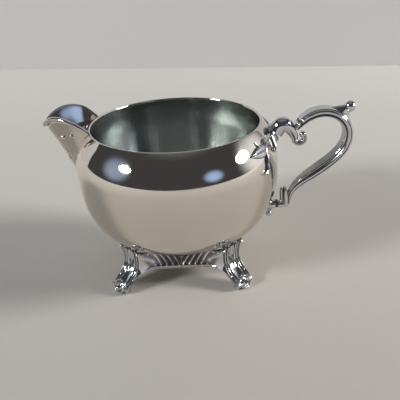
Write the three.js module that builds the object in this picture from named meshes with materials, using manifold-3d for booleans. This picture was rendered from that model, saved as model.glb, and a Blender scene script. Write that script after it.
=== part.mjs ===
// Footed creamer: a round silver-plated bowl with a soldered-on spout, a cast scroll
// handle, leaf branches and four cast corner feet that make a square frame under the bowl.
// Millimetres, +Z up. The spout points to -X and the handle to +X, and the
// finished group is centred over the middle of its own length, feet on z = 0.
import * as THREE from 'three';
import { mergeVertices } from 'three/addons/utils/BufferGeometryUtils.js';
import Module from 'manifold-3d';

// Bowl: the heights are above the table, the radii are of the outer face
const rimRadius = 43;
const rimHeight = 78.7;
const bellyRadius = 51;
const bellyHeight = 60;
const shoulderRise = 9.5;
const sideDrop = 30;
const hipRadius = 40.3;
const hipHeight = 21.3;
const baseRadius = 18;
const baseHeight = 17;
const bowlWall = 1.4;

// Solder gap that every piece keeps to its neighbour
const jointGap = 0.3;

// Spout: a sheet scoop soldered to the outside of the bowl below the rim
const spoutReach = 21.7;
const spoutTipRise = 1.5;
const spoutHalfAngle = 18;
const spoutFootHeight = 48;
const spoutWall = 1.3;
const lipWireRadius = 0.8;
const lipShoulder = { out: 5, half: 13.8, rise: 5.6 };
const lipCrest = { out: 13.5, half: 10, rise: 7.3 };
const lipTurn = { out: 19.4, half: 5.2, rise: 4.7 };
const keelBend = { out: 15.5, drop: 7.5 };
const spoutTuck = 2;
const seamPinch = 1.2;

// Window pierced through the bowl wall behind the spout
const windowMargin = 3.5;
const windowHead = 2.8;
const windowSill = 13;

// Upper handle joint: collar, bulb-shaped bracket that narrows to a curl
const upperJointDrop = 8.2;
const collarRadius = 4.9;
const collarHeight = 1.7;
const bracketBulb = 4;
const bracketRise = 1.4;
const bracketNeck = 1.6;
const bulbEnd = 0.15;
const neckStart = 0.45;
const bracketCurl = 1.1;
const curlRadius = 2.5;
const curlOut = 11;
const curlDrop = 3.3;
const curlStart = 165;
const curlEnd = 410;

// Handle strap: its middle line is measured out from the belly and up from the upper joint,
// or in its lower half up from the lower joint, and its section tapers
const strapStart = { out: 9.2, rise: 2.1 };
const strapCrestPull = { out: 16.7, rise: 15.4 };
const strapCornerPull = { out: 35.1, rise: 11.4 };
const strapBack = { out: 35.1, rise: -2 };
const strapBackPull = { out: 35.1, rise: -11.5 };
const strapSweepPull = { out: 24.8, rise: 22 };
const strapSweep = { out: 14.3, rise: 14.3 };
const strapHeelPull = { out: 8.8, rise: 10.3 };
const strapFootPull = { out: 6, rise: 6 };
const strapFootOut = 5.8;
const strapHalfThickness = 2.35;
const strapHalfWidth = 4.2;
const strapFootTaper = 0.5;
const strapTaperStart = 0.7;
const strapSquareness = 0.5;

// Thumb knob: a flared spur on the outer corner of the strap with a ball on top
const knobPlace = 0.3;
const knobBallRadius = 2.1;
const knobReach = 7.4;
const knobNeck = 1.2;
const knobCrestReach = 6;
const knobBackReach = 5;
const knobBaseHalfWidth = 2.5;

// Lower handle joint: bracket to the bowl, leaf calyx round the strap's foot, hanging drop
const lowerJointHeight = 31;
const lowerBracketSeat = { thick: 2.6, wide: 3.6 };
const lowerBracketEnd = { thick: 1.9, wide: 2.7 };
const lowerBracketHeel = 0.9;
const calyxHeight = 9.5;
const calyxStem = { thick: 1.1, wide: 1.7 };
const calyxTop = { thick: 2, wide: 3.4 };
const calyxLean = 0.9;
const calyxTipStart = 0.7;
const calyxTipTaper = 0.6;
const dropOut = 2.4;
const dropLength = 5.5;
const dropBallRadius = 1.4;
const dropNeckRadius = 0.7;

// Leaf branches that hug the shoulder on both sides of the upper joint: each route is a list of
// places by degrees from the handle and rise above the joint, and its bar is widest near its root
const branchThickness = 1.1;
const stemHalfWidth = 1.1;
const stemRoute = [
  { angle: 9, rise: 0.5 },
  { angle: 17, rise: 2.5 },
  { angle: 26, rise: 0.5 },
  { angle: 29, rise: -3.5 },
  { angle: 26, rise: -7.5 },
  { angle: 21, rise: -12.5 },
  { angle: 17, rise: -18 },
];
const leafHalfWidth = 2.4;
const leafRoute = [{ angle: 26, rise: -0.5 }, { angle: 34, rise: 0.5 }, { angle: 42, rise: 0.8 }];
const twigHalfWidth = 0.9;
const lowerTwigRoute = [{ angle: 27, rise: -5.5 }, { angle: 32.5, rise: -7.5 }, { angle: 36.5, rise: -8.5 }];
const innerTwigRoute = [{ angle: 26, rise: 0.5 }, { angle: 19, rise: -1 }, { angle: 14, rise: -4 }];
const leafTipShare = 0.12;
const leafRootShare = 0.25;

// Corner feet: a splayed leg with two straight half-aprons, so that four feet make a square
// frame under the bowl; reach and tuck are measured along the diagonal from the crown's radius
const footCount = 4;
const crownHeight = 23;
const crownLap = 1.8;
const skirtTuck = 1.2;
const skirtHeight = 17;
const waistTuck = 1.2;
const waistHeight = 12.5;
const instepReach = 3.2;
const instepHeight = 6.5;
const toeReach = 8;
const toeHeight = 2.6;
const padReach = 5.9;
const footWall = 2.6;
const padThickening = 0.6;
const crownThickening = 1.5;
const legHalfWidth = 5;
const legSplay = 3;
const webAngle = 9;
const apronLowerHeight = 9.7;
const apronUpperHeight = 16;
const filletAngle = 1.4;
const earRise = 1.4;
const earSpread = 2;
const legChannelDepth = 1.1;
const toeBossRadius = 2.2;
const toeEarRadius = 0.9;

// Facet counts
const bowlSegments = 48;
const bowlSteps = 9;
const barSides = 12;
const leafSides = 8;
const barStepsPerSpan = 3;
const footRows = 6;
const filletSteps = [0.4, 1, 1.8, 3, 4.5];
const spoutColumns = 24;
const spoutRows = 6;
const wireSteps = 48;
const strapSteps = 40;
const bracketSteps = 26;
const shortBarSteps = 8;
const collarSides = 20;
const ballSides = 12;

const silver = { color: 0xdcd9d2, roughness: 0.1, metalness: 1 };
const satinCasting = { color: 0xcfccc4, roughness: 0.2, metalness: 1 };

const wasm = await Module();
wasm.setup();

const radians = THREE.MathUtils.degToRad;
const vec = (x, y, z) => new THREE.Vector3(x, y, z);
const yAxis = vec(0, 1, 0);
const zAxis = vec(0, 0, 1);

// Indexed geometry with positions only
function indexedGeometry(points, faces) {
  const geometry = new THREE.BufferGeometry().setFromPoints(points);
  geometry.setIndex(faces);
  return geometry;
}

// Closed solid for joining and cutting
function solidOf(geometry) {
  const bare = geometry.clone();
  bare.deleteAttribute('normal');
  bare.deleteAttribute('uv');
  const merged = mergeVertices(bare, 1e-4);
  const mesh = new wasm.Mesh({
    numProp: 3,
    vertProperties: new Float32Array(merged.attributes.position.array),
    triVerts: new Uint32Array(merged.index.array),
  });
  mesh.merge();
  return new wasm.Manifold(mesh);
}

// Triangles of a finished solid
function geometryOf(solid) {
  const mesh = solid.getMesh();
  const geometry = new THREE.BufferGeometry();
  geometry.setAttribute('position', new THREE.BufferAttribute(mesh.vertProperties, 3));
  geometry.setIndex(new THREE.BufferAttribute(mesh.triVerts, 1));
  return geometry;
}

// Solid from a stack of rings of equal point count, closed by a fan at each end
function ringSolid(rings) {
  const sides = rings[0].length;
  const points = rings.flat();
  const lastRing = (rings.length - 1) * sides;
  const faces = [];
  for (let ring = 0; ring < lastRing; ring += sides) {
    for (let side = 0; side < sides; side += 1) {
      const here = ring + side;
      const next = ring + (side + 1) % sides;
      faces.push(here, next, next + sides, here, next + sides, here + sides);
    }
  }
  const middle = (ring) => ring.reduce((sum, p) => sum.add(p), vec(0, 0, 0)).divideScalar(sides);
  const first = points.push(middle(rings[0])) - 1;
  const last = points.push(middle(rings[rings.length - 1])) - 1;
  for (let side = 0; side < sides; side += 1) {
    const next = (side + 1) % sides;
    faces.push(first, next, side);
    faces.push(last, lastRing + side, lastRing + next);
  }
  return solidOf(indexedGeometry(points, faces));
}

// One oval ring in the plane of the directions out and across: a power of 1 is an ellipse,
// and a smaller power gives flatter sides and tighter corners
function ovalRing(centre, out, across, halfThickness, halfWidth, sides, power = 1) {
  const swell = (value) => Math.sign(value) * Math.abs(value) ** power;
  const ring = [];
  for (let side = 0; side < sides; side += 1) {
    const turn = (2 * Math.PI * (side + 0.5)) / sides;
    const point = centre.clone();
    point.addScaledVector(out, halfThickness * swell(Math.cos(turn)));
    point.addScaledVector(across, halfWidth * swell(Math.sin(turn)));
    ring.push(point);
  }
  return ring;
}

// Bar along a curve in the handle's upright plane, its half sizes given as functions
function planeBar(curve, steps, halfThickness, halfWidth, power = 1) {
  const rings = [];
  for (let step = 0; step <= steps; step += 1) {
    const t = step / steps;
    const out = yAxis.clone().cross(curve.getTangent(t)).normalize();
    const centre = curve.getPoint(t);
    rings.push(ovalRing(centre, out, yAxis, halfThickness(t), halfWidth(t), barSides, power));
  }
  return ringSolid(rings);
}

// Solid between an outer and an inner surface over the same two parameters
function patchSolid(outer, inner, columns, rows) {
  const width = columns.length;
  const height = rows.length;
  const points = [];
  for (const surface of [outer, inner]) {
    for (const u of columns) {
      for (const v of rows) {
        points.push(surface(u, v));
      }
    }
  }
  const faces = [];
  const at = (layer, column, row) => (layer * width + column) * height + row;
  const quad = (a, b, c, d) => faces.push(a, b, c, a, c, d);
  for (let c = 0; c < width - 1; c += 1) {
    for (let r = 0; r < height - 1; r += 1) {
      quad(at(0, c, r), at(0, c + 1, r), at(0, c + 1, r + 1), at(0, c, r + 1));
      quad(at(1, c, r), at(1, c, r + 1), at(1, c + 1, r + 1), at(1, c + 1, r));
    }
    const top = height - 1;
    quad(at(1, c, 0), at(1, c + 1, 0), at(0, c + 1, 0), at(0, c, 0));
    quad(at(0, c, top), at(0, c + 1, top), at(1, c + 1, top), at(1, c, top));
  }
  for (let r = 0; r < height - 1; r += 1) {
    const end = width - 1;
    quad(at(0, 0, r), at(0, 0, r + 1), at(1, 0, r + 1), at(1, 0, r));
    quad(at(0, end, r + 1), at(0, end, r), at(1, end, r), at(1, end, r + 1));
  }
  return solidOf(indexedGeometry(points, faces));
}

// Solid of revolution about +Z from a profile of (radius, height) points
function latheSolid(profile, segments) {
  const geometry = new THREE.LatheGeometry(profile, segments);
  geometry.rotateX(Math.PI / 2);
  return solidOf(geometry);
}

function ballSolid(centre, radius) {
  const geometry = new THREE.SphereGeometry(radius, ballSides, (ballSides * 2) / 3);
  geometry.translate(centre.x, centre.y, centre.z);
  return solidOf(geometry);
}

// Even steps from one value to another
function spread(from, to, steps) {
  return Array.from({ length: steps + 1 }, (_, step) => from + ((to - from) * step) / steps);
}

const smooth = (t) => t * t * (3 - 2 * t);

// Outer face of the bowl as (radius, height): under the belly, then the shoulder
const underBelly = new THREE.CubicBezierCurve(
  new THREE.Vector2(baseRadius, baseHeight),
  new THREE.Vector2(hipRadius, hipHeight),
  new THREE.Vector2(bellyRadius, bellyHeight - sideDrop),
  new THREE.Vector2(bellyRadius, bellyHeight),
);
const shoulder = new THREE.QuadraticBezierCurve(
  new THREE.Vector2(bellyRadius, bellyHeight),
  new THREE.Vector2(bellyRadius, bellyHeight + shoulderRise),
  new THREE.Vector2(rimRadius, rimHeight),
);

// The bowl's face moved outwards by an offset, from the base to the rim
function bowlFace(offset) {
  const face = [];
  for (const curve of [underBelly, shoulder]) {
    for (const t of spread(0, 1, bowlSteps)) {
      const tangent = curve.getTangent(t);
      const point = curve.getPoint(t);
      face.push(new THREE.Vector2(point.x + offset * tangent.y, point.y - offset * tangent.x));
    }
    if (curve === underBelly) {
      face.pop();
    }
  }
  return face;
}

// Radius of the bowl's outer face at a height, and its outward slope there
function bowlAt(height) {
  const curve = height < bellyHeight ? underBelly : shoulder;
  let low = 0;
  let high = 1;
  while (high - low > 1e-6) {
    const middle = (low + high) / 2;
    if (curve.getPoint(middle).y < height) {
      low = middle;
    } else {
      high = middle;
    }
  }
  const tangent = curve.getTangent(low);
  return { radius: curve.getPoint(low).x, normal: new THREE.Vector2(tangent.y, -tangent.x) };
}

// Point on the bowl, at an angle from the handle's plane, lifted off its face
function onBowl(angle, height, lift) {
  const { radius, normal } = bowlAt(height);
  const reach = radius + lift * normal.x;
  const turn = radians(angle);
  return vec(reach * Math.cos(turn), reach * Math.sin(turn), height + lift * normal.y);
}

// Solid space of the whole bowl and the air above its rim, grown by the solder gap
function bowlSpace() {
  const face = bowlFace(jointGap);
  const air = rimHeight + lipCrest.rise + spoutReach;
  const reach = rimRadius + jointGap;
  const profile = [
    new THREE.Vector2(0, face[0].y),
    ...face,
    new THREE.Vector2(reach, rimHeight + jointGap),
    new THREE.Vector2(reach, air),
    new THREE.Vector2(0, air),
  ];
  return latheSolid(profile, bowlSegments);
}

// Lip of the spout from one rim joint over both crests and the tip to the other
function lipCurve() {
  const turn = radians(spoutHalfAngle);
  const joint = { out: rimRadius * Math.cos(turn) - rimRadius, half: rimRadius * Math.sin(turn), rise: 0 };
  const side = [joint, lipShoulder, lipCrest, lipTurn];
  const place = (point, sign) => vec(-rimRadius - point.out, sign * point.half, rimHeight + point.rise);
  return new THREE.CatmullRomCurve3([
    ...side.map((point) => place(point, 1)),
    vec(-rimRadius - spoutReach, 0, rimHeight + spoutTipRise),
    ...side.toReversed().map((point) => place(point, -1)),
  ]);
}

// Half angle of the spout's seam at a share of the way from its foot to the rim
const seamAngle = (share) => spoutHalfAngle * share ** seamPinch;

// Spout shell between its lip and its seam on the bowl: every strip is a bent curve
// from the lip, over a bend line, to the seam, which is tucked into the bowl and trimmed
function makeSpout(space, wire) {
  const lip = lipCurve();
  const seam = (side) => {
    const share = Math.abs(side);
    const height = spoutFootHeight + (rimHeight - spoutFootHeight - spoutWall) * share;
    return onBowl(180 - Math.sign(side) * seamAngle(share), height, -spoutTuck);
  };
  const keelBendPoint = vec(-rimRadius - keelBend.out, 0, rimHeight - keelBend.drop);
  const keelLean = keelBendPoint.sub(lip.getPoint(0.5).add(seam(0)).multiplyScalar(0.5));
  const strip = (side) => {
    const edge = lip.getPoint((1 - side) / 2);
    const foot = seam(side);
    const bend = edge.clone().add(foot).multiplyScalar(0.5).addScaledVector(keelLean, 1 - side * side);
    edge.addScaledVector(bend.clone().sub(edge).normalize(), lipWireRadius + jointGap);
    return new THREE.QuadraticBezierCurve3(foot, bend, edge);
  };
  const outer = (side, t) => strip(side).getPoint(t);
  const inner = (side, t) => {
    const step = 0.01;
    const left = Math.min(1, side + step);
    const right = Math.max(-1, side - step);
    const across = outer(right, t).sub(outer(left, t));
    const normal = across.cross(strip(side).getTangent(t)).normalize();
    return outer(side, t).addScaledVector(normal, -spoutWall);
  };
  const columns = spread(1, -1, spoutColumns);
  return patchSolid(outer, inner, columns, spread(0, 1, spoutRows)).subtract(space).subtract(wire);
}

// Round wire along the lip, grown by a clearance where the spout is cut by it
function makeLipWire(grow) {
  const section = new THREE.Shape().absarc(0, 0, lipWireRadius + grow, 0, 2 * Math.PI);
  const settings = { steps: wireSteps, curveSegments: 4, bevelEnabled: false, extrudePath: lipCurve() };
  return solidOf(new THREE.ExtrudeGeometry(section, settings));
}

// Bowl wall with a rounded rim, and the window behind the spout cut through it
function makeBowl() {
  const outer = bowlFace(0);
  const inner = bowlFace(-bowlWall).toReversed();
  const rimOuter = outer[outer.length - 1];
  const rimInner = inner[0];
  const rimMiddle = rimOuter.clone().add(rimInner).multiplyScalar(0.5);
  const rimUp = bowlAt(rimHeight).normal.rotateAround(new THREE.Vector2(), Math.PI / 2);
  const rimCrown = rimMiddle.addScaledVector(rimUp, bowlWall / 2);
  const profile = [
    new THREE.Vector2(0, outer[0].y),
    ...outer,
    rimCrown,
    ...inner,
    new THREE.Vector2(0, inner[inner.length - 1].y),
  ];
  const sill = spoutFootHeight + windowSill;
  const head = rimHeight - windowHead;
  const outline = new THREE.Shape();
  const edge = spread(sill, head, 6).map((height) => {
    const share = (height - spoutFootHeight) / (rimHeight - spoutFootHeight);
    const half = bowlAt(height).radius * Math.sin(radians(seamAngle(share))) - windowMargin;
    return new THREE.Vector2(half, height);
  });
  const mirrored = edge.toReversed().map((point) => new THREE.Vector2(-point.x, point.y));
  outline.setFromPoints([...edge, ...mirrored]);
  const cut = new THREE.ExtrudeGeometry(outline, { depth: bellyRadius, bevelEnabled: false });
  cut.rotateX(Math.PI / 2);
  cut.rotateZ(-Math.PI / 2);
  cut.translate(-rimRadius / 2, 0, 0);
  return latheSolid(profile, bowlSegments).subtract(solidOf(cut));
}

const upperJointHeight = rimHeight - upperJointDrop;
const aboveUpper = ({ out, rise }) => vec(bellyRadius + out, 0, upperJointHeight + rise);
const aboveLower = ({ out, rise }) => vec(bellyRadius + out, 0, lowerJointHeight + rise);

// Round collar on the bowl's face at the upper joint, its axis square to that face
function makeCollar(space, grow) {
  const radius = collarRadius + grow;
  const height = collarHeight + grow;
  const waist = radius - collarHeight / 2;
  const profile = [
    new THREE.Vector2(0, -collarHeight),
    new THREE.Vector2(radius, -collarHeight),
    new THREE.Vector2(radius, height / 2),
    new THREE.Vector2(waist, height),
    new THREE.Vector2(0, height),
  ];
  const geometry = new THREE.LatheGeometry(profile, collarSides);
  geometry.rotateX(Math.PI / 2);
  const { normal } = bowlAt(upperJointHeight);
  const lean = vec(normal.x, 0, normal.y);
  geometry.applyQuaternion(new THREE.Quaternion().setFromUnitVectors(zAxis, lean));
  const seat = onBowl(0, upperJointHeight, 0);
  geometry.translate(seat.x, seat.y, seat.z);
  return solidOf(geometry).subtract(space);
}

// Bulb, neck and curl of the upper bracket, grown by a clearance where others are cut by it
function makeBracket(grow) {
  const seat = onBowl(0, upperJointHeight, collarHeight + jointGap);
  const bulb = onBowl(0, upperJointHeight + bracketRise, collarHeight + bracketBulb);
  const curl = aboveUpper({ out: curlOut, rise: -curlDrop });
  const around = (turn) => vec(
    curl.x + curlRadius * Math.cos(radians(turn)),
    0,
    curl.z + curlRadius * Math.sin(radians(turn)),
  );
  const neck = aboveUpper(strapStart).add(vec(-bracketNeck - strapHalfThickness, 0, bracketNeck / 2));
  const path = new THREE.CatmullRomCurve3([seat, bulb, neck, ...spread(curlStart, curlEnd, 5).map(around)]);
  const radius = (t) => {
    const past = THREE.MathUtils.clamp((t - bulbEnd) / (neckStart - bulbEnd), 0, 1);
    const narrow = bracketNeck + (bracketCurl - bracketNeck) * t;
    return bracketBulb + (narrow - bracketBulb) * smooth(past) + grow;
  };
  return planeBar(path, bracketSteps, radius, radius);
}

// Middle line of the handle strap, from the bracket's neck round to the lower joint
function strapCurve() {
  const [start, crest, corner, back, backPull] = [
    strapStart, strapCrestPull, strapCornerPull, strapBack, strapBackPull,
  ].map(aboveUpper);
  const [sweepPull, sweep, heelPull, footPull, foot] = [
    strapSweepPull, strapSweep, strapHeelPull, strapFootPull, { out: strapFootOut, rise: 0 },
  ].map(aboveLower);
  const path = new THREE.CurvePath();
  path.add(new THREE.CubicBezierCurve3(start, crest, corner, back));
  path.add(new THREE.CubicBezierCurve3(back, backPull, sweepPull, sweep));
  path.add(new THREE.CubicBezierCurve3(sweep, heelPull, footPull, foot));
  return path;
}

function makeStrap(grow) {
  const past = (t) => Math.max(0, (t - strapTaperStart) / (1 - strapTaperStart));
  const taper = (t) => 1 - strapFootTaper * smooth(past(t));
  const thickness = (t) => strapHalfThickness * taper(t) + grow;
  const width = (t) => strapHalfWidth * taper(t) + grow;
  return planeBar(strapCurve(), strapSteps, thickness, width, strapSquareness);
}

// Spur that stands on the strap's outer corner, with a ball at its tip: it runs out straight
// along the strap's crest and in a hollow curve down the strap's back
function makeKnob() {
  const strap = strapCurve();
  const foot = strap.getPoint(knobPlace);
  const along = strap.getTangent(knobPlace);
  const outward = along.clone().cross(yAxis).normalize();
  const ball = foot.clone().addScaledVector(outward, knobReach);
  const rings = spread(0, 1, shortBarSteps).map((t) => {
    const crest = knobNeck + knobCrestReach * (1 - t);
    const back = knobNeck + knobBackReach * (1 - t) ** 2;
    const width = knobNeck + (knobBaseHalfWidth - knobNeck) * (1 - t) ** 2;
    const centre = foot.clone().lerp(ball, t).addScaledVector(along, (back - crest) / 2);
    return ovalRing(centre, along, yAxis, (back + crest) / 2, width, barSides);
  });
  return ringSolid(rings).add(ballSolid(ball, knobBallRadius)).subtract(makeStrap(jointGap));
}

// Bar from the bowl's side to just past the strap's foot
function makeLowerBracket(space, grow) {
  const heel = aboveLower({ out: strapFootOut + lowerBracketHeel, rise: 0 });
  const seat = onBowl(0, lowerJointHeight, -bowlWall);
  const between = (from, to) => (t) => from + (to - from) * t + grow;
  const thickness = between(lowerBracketSeat.thick, lowerBracketEnd.thick);
  const width = between(lowerBracketSeat.wide, lowerBracketEnd.wide);
  return planeBar(new THREE.LineCurve3(seat, heel), shortBarSteps, thickness, width).subtract(space);
}

// Leaf calyx that opens upwards from the lower bracket along the inner side of the strap's foot
function makeCalyx(bracket) {
  const low = aboveLower({ out: strapFootOut - calyxStem.thick, rise: 0 });
  const top = low.clone().add(vec(-calyxLean, 0, calyxHeight));
  const closing = (t) => 1 - calyxTipTaper * smooth(Math.max(0, (t - calyxTipStart) / (1 - calyxTipStart)));
  const opening = (from, to) => (t) => (from + (to - from) * Math.sin((Math.PI / 2) * t)) * closing(t);
  const thickness = opening(calyxStem.thick, calyxTop.thick);
  const width = opening(calyxStem.wide, calyxTop.wide);
  const leaf = planeBar(new THREE.LineCurve3(low, top), shortBarSteps, thickness, width);
  return leaf.subtract(makeStrap(jointGap)).subtract(bracket);
}

// Ball drop hanging on a thin neck under the lower bracket
function makeDrop(bracket) {
  const ball = new THREE.Vector2(0, -dropLength);
  const profile = [
    new THREE.Vector2(0, ball.y - dropBallRadius),
    ...spread(-60, 60, 6).map((turn) => new THREE.Vector2(
      dropBallRadius * Math.cos(radians(turn)),
      ball.y + dropBallRadius * Math.sin(radians(turn)),
    )),
    new THREE.Vector2(dropNeckRadius, 0),
    new THREE.Vector2(0, 0),
  ];
  const geometry = new THREE.LatheGeometry(profile, ballSides);
  geometry.rotateX(Math.PI / 2);
  const seat = onBowl(0, lowerJointHeight, 0);
  geometry.translate(seat.x + dropOut, 0, lowerJointHeight);
  return solidOf(geometry).subtract(bracket);
}

// One leaf or stem of a branch, along its route on the bowl's face
function branchBar(side, route, widest) {
  const curve = new THREE.CatmullRomCurve3(
    route.map(({ angle, rise }) => vec(angle, upperJointHeight + rise, 0)),
  );
  const middleAt = (t) => {
    const place = curve.getPoint(t);
    return onBowl(side * place.x, place.y, jointGap);
  };
  const nearby = 0.02;
  const rings = spread(0, 1, barStepsPerSpan * (route.length - 1)).map((t) => {
    const along = middleAt(Math.min(1, t + nearby)).sub(middleAt(Math.max(0, t - nearby))).normalize();
    const { normal } = bowlAt(curve.getPoint(t).y);
    const centre = middleAt(t);
    const flat = Math.hypot(centre.x, centre.y);
    const out = vec((normal.x * centre.x) / flat, (normal.x * centre.y) / flat, normal.y);
    const across = along.clone().cross(out).normalize();
    const swell = Math.sin(Math.PI * Math.min(1, leafRootShare + (1 - leafRootShare) * t));
    return ovalRing(centre, out, across, branchThickness, widest * (leafTipShare + swell), leafSides);
  });
  return ringSolid(rings);
}

// Branch on one side of the handle: a stem that swings out and back down, and its leaves
function makeBranch(side, space, collar) {
  const bars = [
    branchBar(side, stemRoute, stemHalfWidth),
    branchBar(side, leafRoute, leafHalfWidth),
    branchBar(side, lowerTwigRoute, twigHalfWidth),
    branchBar(side, innerTwigRoute, twigHalfWidth),
  ];
  return bars.reduce((sum, bar) => sum.add(bar)).subtract(space).subtract(collar);
}

// Outer face of a leg on the diagonal as (radius, height), from the pad over the toe to the crown
const crownRadius = bowlAt(crownHeight).radius + crownLap;
const footFace = new THREE.SplineCurve([
  new THREE.Vector2(crownRadius + padReach, 0),
  new THREE.Vector2(crownRadius + toeReach, toeHeight),
  new THREE.Vector2(crownRadius + instepReach, instepHeight),
  new THREE.Vector2(crownRadius - waistTuck, waistHeight),
  new THREE.Vector2(crownRadius - skirtTuck, skirtHeight),
  new THREE.Vector2(crownRadius, crownHeight),
]);

function footRadiusAt(height) {
  let low = 0;
  let high = 1;
  while (high - low > 1e-6) {
    const middle = (low + high) / 2;
    if (footFace.getPoint(middle).y < height) {
      low = middle;
    } else {
      high = middle;
    }
  }
  return footFace.getPoint(low).x;
}

// Corner casting: every column of the patch runs from the lower edge, which is the pad
// under the leg and the apron's edge on the wings, up to the crown with its two ears
function makeFoot(turn, space) {
  const quarter = 180 / footCount;
  const toeRadius = crownRadius + toeReach;
  const legAngle = THREE.MathUtils.radToDeg(legHalfWidth / toeRadius);
  const earAngle = legAngle + legSplay;
  const sideRadius = crownRadius * Math.cos(radians(quarter));
  const wingEnd = quarter - THREE.MathUtils.radToDeg(jointGap / 2 / sideRadius);
  const wingShare = (angle) => smooth(THREE.MathUtils.clamp((Math.abs(angle) - legAngle) / webAngle, 0, 1));
  const lowerEdge = (angle) => (
    apronLowerHeight * (1 - Math.exp(-Math.max(0, Math.abs(angle) - legAngle) / filletAngle))
  );
  const upperEdge = (angle) => {
    const beyond = THREE.MathUtils.clamp((Math.abs(angle) - earAngle) / (quarter - earAngle), 0, 1);
    const ear = earRise * Math.exp(-(((Math.abs(angle) - legAngle) / earSpread) ** 2));
    return crownHeight + ear + (apronUpperHeight - crownHeight) * Math.sin((Math.PI / 2) * beyond);
  };
  // The leg is flat across the diagonal and the wings follow the sides of the square
  const plan = (angle) => {
    const leg = 1 / Math.cos(radians(angle));
    const wing = Math.cos(radians(quarter)) / Math.cos(radians(quarter - Math.abs(angle)));
    return leg + (wing - leg) * wingShare(angle);
  };
  const splayed = (angle, height) => {
    const inside = Math.abs(angle) / legAngle;
    const outside = (wingEnd - Math.abs(angle)) / (wingEnd - legAngle);
    return angle + Math.sign(angle) * legSplay * (height / crownHeight) * Math.min(inside, outside);
  };
  const place = (angle, height, radius) => {
    const bearing = radians(turn + splayed(angle, height));
    return vec(radius * Math.cos(bearing), radius * Math.sin(bearing), height);
  };
  const heightAt = (angle, v) => lowerEdge(angle) + (upperEdge(angle) - lowerEdge(angle)) * v;
  const faceRadius = (angle, height) => footRadiusAt(Math.min(height, crownHeight)) * plan(angle);
  const outer = (angle, v) => {
    const height = heightAt(angle, v);
    const across = Math.max(0, Math.cos((Math.PI / 2) * Math.min(1, Math.abs(angle) / legAngle)));
    const hollow = legChannelDepth * across * smooth(Math.min(1, height / waistHeight));
    return place(angle, height, faceRadius(angle, height) - hollow);
  };
  const inner = (angle, v) => {
    const height = heightAt(angle, v);
    const low = padThickening * Math.max(0, 1 - height / waistHeight) ** 2;
    const high = crownThickening * Math.max(0, height / crownHeight) ** 4;
    return place(angle, height, faceRadius(angle, height) - footWall - low - high);
  };
  const half = [
    ...spread(0, legAngle, 3),
    ...filletSteps.map((share) => legAngle + share * filletAngle),
    ...spread(legAngle + webAngle, wingEnd, 4),
  ];
  const columns = [...half.slice(1).toReversed().map((angle) => -angle), ...half];
  const casting = patchSolid(outer, inner, columns, spread(0, 1, footRows));
  const toe = ballSolid(place(0, toeHeight, toeRadius - toeBossRadius / 2), toeBossRadius);
  const ears = [-1, 1].map((sign) => ballSolid(place(sign * legAngle, toeHeight, toeRadius), toeEarRadius));
  return casting.add(toe).add(ears[0]).add(ears[1]).subtract(space);
}

const creamer = new THREE.Group();

function addPiece(name, solid, look) {
  const mesh = new THREE.Mesh(geometryOf(solid), new THREE.MeshStandardMaterial(look));
  mesh.name = name;
  creamer.add(mesh);
}

const space = bowlSpace();
const collarSpace = makeCollar(space, jointGap);
const bracketSpace = makeBracket(jointGap);
const lowerSpace = makeLowerBracket(space, jointGap);

addPiece('bowl', makeBowl(), silver);
addPiece('spout', makeSpout(space, makeLipWire(jointGap)), silver);
addPiece('spout_lip_wire', makeLipWire(0).subtract(space), silver);
addPiece('handle_collar', makeCollar(space, 0), satinCasting);
addPiece('handle_upper_bracket', makeBracket(0).subtract(space).subtract(collarSpace), satinCasting);
addPiece('handle_strap', makeStrap(0).subtract(bracketSpace).subtract(lowerSpace), satinCasting);
addPiece('handle_thumb_knob', makeKnob(), satinCasting);
addPiece('handle_lower_bracket', makeLowerBracket(space, 0), satinCasting);
addPiece('handle_calyx', makeCalyx(lowerSpace), satinCasting);
addPiece('handle_drop', makeDrop(lowerSpace), satinCasting);
addPiece('leaf_branch_near', makeBranch(-1, space, collarSpace), satinCasting);
addPiece('leaf_branch_far', makeBranch(1, space, collarSpace), satinCasting);
const footNames = ['foot_back_handle', 'foot_back_spout', 'foot_front_spout', 'foot_front_handle'];
footNames.forEach((name, index) => {
  const turn = (360 / footCount) * (index + 0.5);
  addPiece(name, makeFoot(turn, space), satinCasting);
});

// Centre the group over the middle of its length
const middle = new THREE.Box3().setFromObject(creamer).getCenter(vec(0, 0, 0));
creamer.position.x = -middle.x;

export default creamer;
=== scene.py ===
import bmesh
import bpy
import numpy as np
from mathutils import Matrix, Vector


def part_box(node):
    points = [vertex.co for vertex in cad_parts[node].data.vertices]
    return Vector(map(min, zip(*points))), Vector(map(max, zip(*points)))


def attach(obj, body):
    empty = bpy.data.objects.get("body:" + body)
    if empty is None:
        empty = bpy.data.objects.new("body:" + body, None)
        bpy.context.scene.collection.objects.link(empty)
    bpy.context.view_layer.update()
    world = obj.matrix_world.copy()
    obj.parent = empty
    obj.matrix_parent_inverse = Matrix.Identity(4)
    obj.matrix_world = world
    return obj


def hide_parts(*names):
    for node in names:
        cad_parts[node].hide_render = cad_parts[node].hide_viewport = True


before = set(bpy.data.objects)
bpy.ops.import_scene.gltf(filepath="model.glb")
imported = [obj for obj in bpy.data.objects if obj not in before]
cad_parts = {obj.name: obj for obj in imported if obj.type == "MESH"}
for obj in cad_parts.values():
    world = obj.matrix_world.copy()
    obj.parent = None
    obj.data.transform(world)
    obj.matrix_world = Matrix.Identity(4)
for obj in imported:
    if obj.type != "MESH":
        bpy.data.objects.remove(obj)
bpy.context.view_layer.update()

# Camera: it stands in front of the near side, a little to the handle's side of the bowl's axis,
# and looks down into the mouth. The picture is square, and the lens is given as a share of it.
bowl_low, bowl_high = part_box("bowl")
axis_x = (bowl_low.x + bowl_high.x) / 2
camera_place = Vector((axis_x + 0.01708, -0.26691, 0.16646))
camera_yaw, camera_pitch, camera_roll = np.radians([-1.434, 26.264, -3.0315])
focal_share = 1.4


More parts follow.
